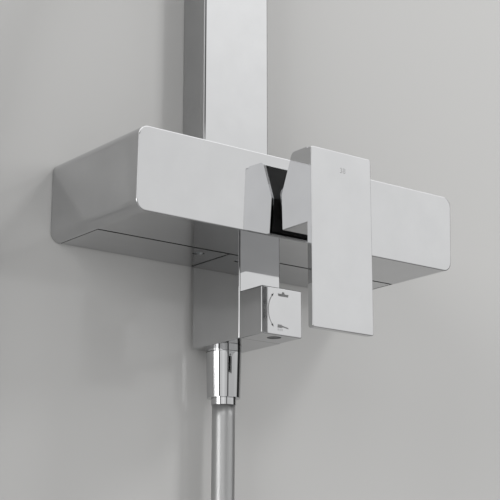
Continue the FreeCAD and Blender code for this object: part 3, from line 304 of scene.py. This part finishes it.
def new_material(name, colour, metallic, roughness):
    material = bpy.data.materials.new(name)
    material.use_nodes = True
    shader = material.node_tree.nodes["Principled BSDF"]
    shader.inputs["Base Color"].default_value = (*colour, 1.0)
    shader.inputs["Metallic"].default_value = metallic
    shader.inputs["Roughness"].default_value = roughness
    return material, material.node_tree, shader


def add_noise(tree, scale, detail, stretch):
    """A noise over the object's own coordinates, drawn out along an axis by its stretch."""
    place = tree.nodes.new("ShaderNodeTexCoord")
    mapping = tree.nodes.new("ShaderNodeMapping")
    mapping.inputs["Scale"].default_value = stretch
    noise = tree.nodes.new("ShaderNodeTexNoise")
    noise.inputs["Scale"].default_value = scale
    noise.inputs["Detail"].default_value = detail
    tree.links.new(place.outputs["Object"], mapping.inputs["Vector"])
    tree.links.new(mapping.outputs["Vector"], noise.inputs["Vector"])
    return noise.outputs["Fac"]


def vary_value(tree, factor, low, high, target):
    """Spread a factor over a range of values and feed it to a shader's socket."""
    spread = tree.nodes.new("ShaderNodeMapRange")
    spread.inputs["From Min"].default_value = NOISE_RANGE[0]
    spread.inputs["From Max"].default_value = NOISE_RANGE[1]
    spread.inputs["To Min"].default_value = low
    spread.inputs["To Max"].default_value = high
    tree.links.new(factor, spread.inputs["Value"])
    tree.links.new(spread.outputs["Result"], target)


def vary_colour(tree, factor, dark, light, target):
    """Run a factor from one colour to another and feed it to a shader's socket."""
    ramp = tree.nodes.new("ShaderNodeValToRGB")
    first, second = ramp.color_ramp.elements
    first.position, second.position = NOISE_RAMP
    first.color = (*dark, 1.0)
    second.color = (*light, 1.0)
    tree.links.new(factor, ramp.inputs["Fac"])
    tree.links.new(ramp.outputs["Color"], target)


def add_bump(tree, shader, factor, strength, distance):
    bump = tree.nodes.new("ShaderNodeBump")
    bump.inputs["Strength"].default_value = strength
    bump.inputs["Distance"].default_value = distance
    tree.links.new(factor, bump.inputs["Height"])
    tree.links.new(bump.outputs["Normal"], shader.inputs["Normal"])


def make_finish(name, colour, metallic, roughness, noise, rough, dark, light, stretch=EVEN, bump=None):
    material, tree, shader = new_material(name, colour, metallic, roughness)
    grain = add_noise(tree, *noise, stretch)
    vary_value(tree, grain, *rough, shader.inputs["Roughness"])
    vary_colour(tree, grain, dark, light, shader.inputs["Base Color"])
    if bump:
        add_bump(tree, shader, grain, *bump)
    return material


def make_ink(name, grey):
    return make_finish(
        name,
        colour=(grey,) * 3,
        metallic=0.0,
        roughness=0.5,
        noise=(900.0, 3.0),
        rough=(0.45, 0.6),
        dark=(grey * (1 - INK_SPREAD),) * 3,
        light=(grey * (1 + INK_SPREAD),) * 3,
    )


def dress(piece, material):
    piece.data.materials.clear()
    piece.data.materials.append(material)


def dress_nodes(hose):
    """Give each carried-over node, and the hose, the finish of its material slot."""
    finishes = {slot: make_finish(**finish) for slot, finish in FINISHES.items()}
    for row in frame["record"]["subparts"]:
        dress(nodes[row["node"]], finishes[row["material_slot"]])
    dress(hose, finishes["hose"])


def add_print(name, shapes, front, body, ink):
    """Thin flat shapes of (across, up) corners in millimetres, laid on a surface that faces the front."""
    bm = bmesh.new()
    for shape in shapes:
        outer = [bm.verts.new((x * MM, front - PRINT_DEPTH, z * MM)) for x, z in shape]
        inner = [bm.verts.new((x * MM, front, z * MM)) for x, z in shape]
        count = len(shape)
        for i in range(count):
            following = (i + 1) % count
            bm.faces.new((outer[i], outer[following], inner[following], inner[i]))
        bm.faces.new(outer)
        bm.faces.new(inner)
    piece = add_object(name, bm, smooth=False)
    dress(piece, ink)
    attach(piece, body)


def sign_shape(shares, place, width, height):
    """A pictogram's shape in millimetres from the shares of its corners."""
    return [(place[0] + x * width / 2, place[1] + z * height) for x, z in shares]


def knob_arc():
    """An arc on the left of the knob's front, with an arrow's point at each end."""
    centre_x, centre_z = KNOB_ARC_CENTRE
    half_angle = math.radians(KNOB_ARC_HALF_ANGLE)
    half_width = KNOB_ARC_WIDTH / 2

    def point(radius, angle):
        return (centre_x - radius * math.cos(angle), centre_z + radius * math.sin(angle))

    band = []
    for edge, way in ((KNOB_ARC_RADIUS + half_width, 1), (KNOB_ARC_RADIUS - half_width, -1)):
        for i in range(KNOB_ARC_STEPS + 1):
            angle = half_angle * (2 * i / KNOB_ARC_STEPS - 1) * way
            band.append(point(edge, angle))
    shapes = [band]
    tip_angle = KNOB_ARROW_LENGTH / KNOB_ARC_RADIUS
    for side in (-1, 1):
        root = half_angle - tip_angle / 2
        tip = half_angle + tip_angle / 2
        shapes.append([
            point(KNOB_ARC_RADIUS - KNOB_ARROW_WIDTH / 2, root * side),
            point(KNOB_ARC_RADIUS, tip * side),
            point(KNOB_ARC_RADIUS + KNOB_ARROW_WIDTH / 2, root * side),
        ])
    return shapes


def rain_sign():
    """A flat overhead shower seen from the side: a plate with a short neck."""
    size = (RAIN_SIGN_PLACE, RAIN_SIGN_WIDTH, RAIN_SIGN_HEIGHT)
    return [sign_shape(RAIN_PLATE, *size), sign_shape(RAIN_STUB, *size)]


def hand_sign():
    """A hand shower seen from the side: a head, a slanting handle and three jets."""
    size = (HAND_SIGN_PLACE, HAND_SIGN_WIDTH, HAND_SIGN_HEIGHT)
    shapes = [sign_shape(HAND_HEAD, *size), sign_shape(HAND_HANDLE, *size)]
    low, high = JET_HEIGHTS
    for left in JET_PLACES:
        right = left + JET_WIDTH * 2 / HAND_SIGN_WIDTH
        shapes.append(sign_shape([(left, low), (right, low), (right, high), (left, high)], *size))
    return shapes


def add_number(front, ink):
    """A plain number on the lever's front."""
    curve = bpy.data.curves.new("number", "FONT")
    curve.body = NUMBER_TEXT
    curve.size = NUMBER_HEIGHT * MM / FIGURE_SHARE
    curve.align_x = "CENTER"
    curve.align_y = "CENTER"
    curve.extrude = PRINT_DEPTH / 2
    carrier = bpy.data.objects.new("number", curve)
    mesh = bpy.data.meshes.new_from_object(carrier)
    bpy.data.objects.remove(carrier)
    for vertex in mesh.vertices:
        x, up, out = vertex.co
        vertex.co = (x + NUMBER_PLACE[0] * MM, front - PRINT_DEPTH / 2 - out, up + NUMBER_PLACE[1] * MM)
    number = bpy.data.objects.new("lever_number", mesh)
    scene.collection.objects.link(number)
    dress(number, ink)
    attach(number, "lever")


def add_prints():
    ink = make_ink("print_ink", INK_GREY)
    pale_ink = make_ink("pale_ink", PALE_INK_GREY)
    knob_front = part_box("diverter_knob")[0].y
    add_print("knob_arc_print", knob_arc(), knob_front, "diverter", ink)
    add_print("knob_rain_print", rain_sign(), knob_front, "diverter", ink)
    add_print("knob_hand_print", hand_sign(), knob_front, "diverter", ink)
    add_number(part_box("lever_blade")[0].y, pale_ink)


def choose(tree, chance, first, second):
    """The second shader where the chance is 1, else the first."""
    choice = tree.nodes.new("ShaderNodeMixShader")
    tree.links.new(chance, choice.inputs["Fac"])
    tree.links.new(first, choice.inputs[1])
    tree.links.new(second, choice.inputs[2])
    return choice.outputs["Shader"]


def make_stage_material(name, colour, roughness):
    """A plain pale surface that is only there from its front."""
    material, tree, shader = new_material(name, colour, 0.0, roughness)
    grain = add_noise(tree, *STAGE_NOISE, EVEN)
    least = roughness * (1 - STAGE_SPREAD)
    most = roughness * (1 + STAGE_SPREAD)
    vary_value(tree, grain, least, most, shader.inputs["Roughness"])
    clear = tree.nodes.new("ShaderNodeBsdfTransparent")
    sides = tree.nodes.new("ShaderNodeNewGeometry")
    seen = choose(tree, sides.outputs["Backfacing"], shader.outputs["BSDF"], clear.outputs["BSDF"])
    tree.links.new(seen, tree.nodes["Material Output"].inputs["Surface"])
    return material


def add_plane(name, corners, material, mirrored):
    bm = bmesh.new()
    bm.faces.new([bm.verts.new(corner) for corner in corners])
    mesh = bpy.data.meshes.new(name)
    bm.to_mesh(mesh)
    bm.free()
    plane = bpy.data.objects.new(name, mesh)
    scene.collection.objects.link(plane)
    dress(plane, material)
    plane.visible_diffuse = False
    plane.visible_glossy = mirrored
    plane.visible_shadow = False


def make_stage():
    reach = STAGE_REACH
    wall = [
        (-reach, WALL_BEHIND, FLOOR_LEVEL),
        (reach, WALL_BEHIND, FLOOR_LEVEL),
        (reach, WALL_BEHIND, reach),
        (-reach, WALL_BEHIND, reach),
    ]
    floor = [
        (-reach, -reach, FLOOR_LEVEL),
        (reach, -reach, FLOOR_LEVEL),
        (reach, reach, FLOOR_LEVEL),
        (-reach, reach, FLOOR_LEVEL),
    ]
    add_plane("wall", wall, make_stage_material("wall", WALL_COLOUR, WALL_ROUGHNESS), mirrored=True)
    add_plane("floor", floor, make_stage_material("floor", FLOOR_COLOUR, FLOOR_ROUGHNESS), mirrored=False)


def heading_way(heading, height):
    """The direction with a heading and a height above the level, both in degrees."""
    level = math.cos(math.radians(height))
    across = math.sin(math.radians(heading)) * level
    into = math.cos(math.radians(heading)) * level
    return Vector((across, into, math.sin(math.radians(height))))


def add_softbox(name, heading, height, size, radiance):
    """A flat soft light that lights the set and is neither seen nor mirrored."""
    data = bpy.data.lights.new(name, "AREA")
    data.size = size
    data.energy = radiance * math.pi * size ** 2
    light = bpy.data.objects.new(name, data)
    way = heading_way(heading, height)
    light.location = way * SOFTBOX_DISTANCE
    light.rotation_euler = (-way).to_track_quat("-Z", "Y").to_euler()
    light.visible_camera = False
    light.visible_glossy = False
    scene.collection.objects.link(light)


def add_math(tree, operation, *values):
    """One step of arithmetic on values that are each a socket or a number."""
    node = tree.nodes.new("ShaderNodeMath")
    node.operation = operation
    for socket, value in zip(node.inputs, values):
        if isinstance(value, (int, float)):
            socket.default_value = value
        else:
            tree.links.new(value, socket)
    return node.outputs["Value"]


def add_ramp(tree, factor, stops):
    """A ramp of grey values over a factor from 0 to 1."""
    ramp = tree.nodes.new("ShaderNodeValToRGB")
    elements = ramp.color_ramp.elements
    elements.remove(elements[1])
    for i, (place, value) in enumerate(sorted(stops)):
        element = elements[0] if i == 0 else elements.new(place)
        element.position = place
        element.color = (value, value, value, 1.0)
    tree.links.new(factor, ramp.inputs["Fac"])
    return ramp.outputs["Color"]


def by_height(tree, rise, stops):
    """A ramp over the height above the level, from the direction's rise."""
    share = add_math(tree, "MULTIPLY_ADD", rise, 0.5, 0.5)
    return add_ramp(tree, share, [(math.sin(math.radians(h)) / 2 + 0.5, v) for h, v in stops])


def by_heading(tree, across, into, stops):
    heading = add_math(tree, "ARCTAN2", across, into)
    share = add_math(tree, "MULTIPLY_ADD", heading, 0.5 / math.pi, 0.5)
    return add_ramp(tree, share, [((h + 180) % 360 / 360, v) for h, v in stops])


def room_patch(tree, parts, heights, headings):
    """A part of the room: a ramp over height times one over heading."""
    high = by_height(tree, parts["Z"], heights)
    return add_math(tree, "MULTIPLY", high, by_heading(tree, parts["X"], parts["Y"], headings))


def room_brightness(tree, parts):
    """The mirrored room: ramps over height and heading, the latter evened out higher up, and its patches."""
    rise = parts["Z"]
    evening = tree.nodes.new("ShaderNodeMapRange")
    evening.inputs["From Min"].default_value = math.sin(math.radians(EVEN_ROOM_HEIGHT[0]))
    evening.inputs["From Max"].default_value = math.sin(math.radians(EVEN_ROOM_HEIGHT[1]))
    evening.inputs["To Min"].default_value = 1.0
    evening.inputs["To Max"].default_value = 0.0
    tree.links.new(rise, evening.inputs["Value"])
    share = by_heading(tree, parts["X"], parts["Y"], ROOM_BY_HEADING)
    excess = add_math(tree, "SUBTRACT", share, 1.0)
    evened = add_math(tree, "MULTIPLY_ADD", excess, evening.outputs["Result"], 1.0)
    walls = add_math(tree, "MULTIPLY", by_height(tree, rise, ROOM_BY_HEIGHT), evened)
    low_gloom = room_patch(tree, parts, LOW_GLOOM_BY_HEIGHT, LOW_GLOOM_BY_HEADING)
    high_gloom = room_patch(tree, parts, HIGH_GLOOM_BY_HEIGHT, HIGH_GLOOM_BY_HEADING)
    gloom = add_math(tree, "ADD", low_gloom, high_gloom)
    lit = add_math(tree, "MULTIPLY", walls, add_math(tree, "SUBTRACT", 1.0, gloom))
    return add_math(tree, "ADD", lit, room_patch(tree, parts, WINDOW_BY_HEIGHT, WINDOW_BY_HEADING))


def add_background(tree, colour, strength):
    background = tree.nodes.new("ShaderNodeBackground")
    background.inputs["Color"].default_value = (*colour, 1.0)
    if strength is not None:
        tree.links.new(strength, background.inputs["Strength"])
    return background.outputs["Background"]


def make_light():
    world = bpy.data.worlds.new("studio")
    scene.world = world
    world.use_nodes = True
    tree = world.node_tree
    tree.nodes.remove(tree.nodes["Background"])
    direction = tree.nodes.new("ShaderNodeTexCoord")
    split = tree.nodes.new("ShaderNodeSeparateXYZ")
    tree.links.new(direction.outputs["Generated"], split.inputs["Vector"])
    parts = split.outputs
    dull = add_background(tree, ROOM_COLOUR, by_height(tree, parts["Z"], DULL_BY_HEIGHT))
    mirrored = add_background(tree, ROOM_COLOUR, room_brightness(tree, parts))
    backdrop = add_background(tree, BACKGROUND_COLOUR, None)
    paths = tree.nodes.new("ShaderNodeLightPath").outputs
    room = choose(tree, paths["Is Glossy Ray"], dull, mirrored)
    seen = choose(tree, paths["Is Camera Ray"], room, backdrop)
    tree.links.new(seen, tree.nodes["World Output"].inputs["Surface"])
    for softbox in SOFTBOXES:
        add_softbox(*softbox)


make_camera()
hose = make_hose()
dress_nodes(hose)
add_prints()
make_stage()
make_light()

scene.view_settings.view_transform = "Standard"
